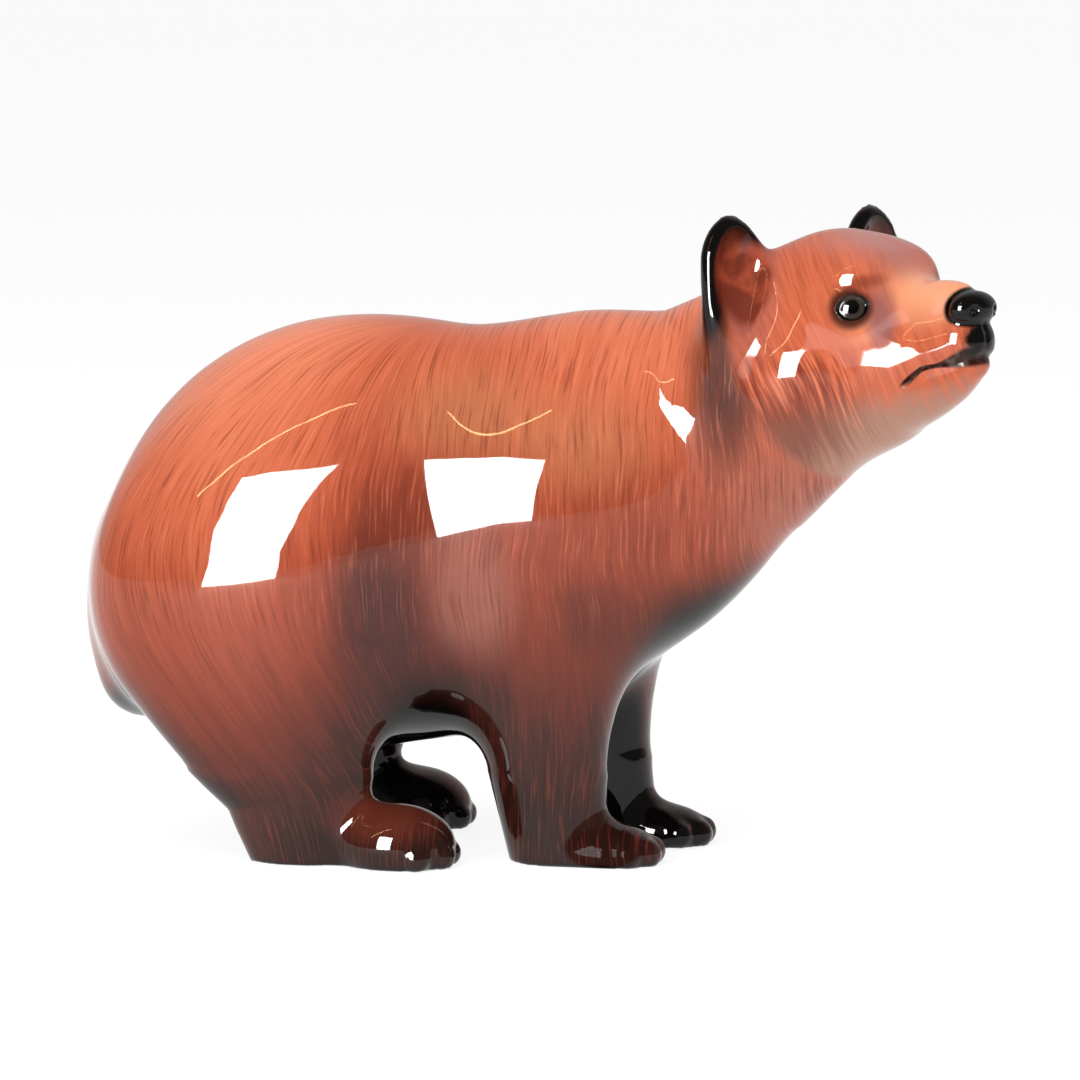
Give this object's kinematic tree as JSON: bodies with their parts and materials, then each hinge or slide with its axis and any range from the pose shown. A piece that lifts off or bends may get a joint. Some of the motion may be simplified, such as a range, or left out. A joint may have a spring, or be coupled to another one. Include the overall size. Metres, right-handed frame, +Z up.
{
  "type": "porcelain bear figurine",
  "caption": "Glazed porcelain figurine of a brown bear in mid-stride, its head raised and turned to its right; a shelf ornament that stands on flat-ground feet.",
  "frame": {"origin": "middle of the figure's length and width, in the plane of its soles", "axes": "+X from tail to nose, +Y to the bear's left, +Z up"},
  "size_m": [0.1461, 0.0596, 0.1006],
  "materials": {
    "glazed_porcelain": "hand-painted in russet and dark brown hair strokes under a clear gloss glaze"
  },
  "bodies": {
    "root": {"bear": "glazed_porcelain"}
  },
  "joints": []
}
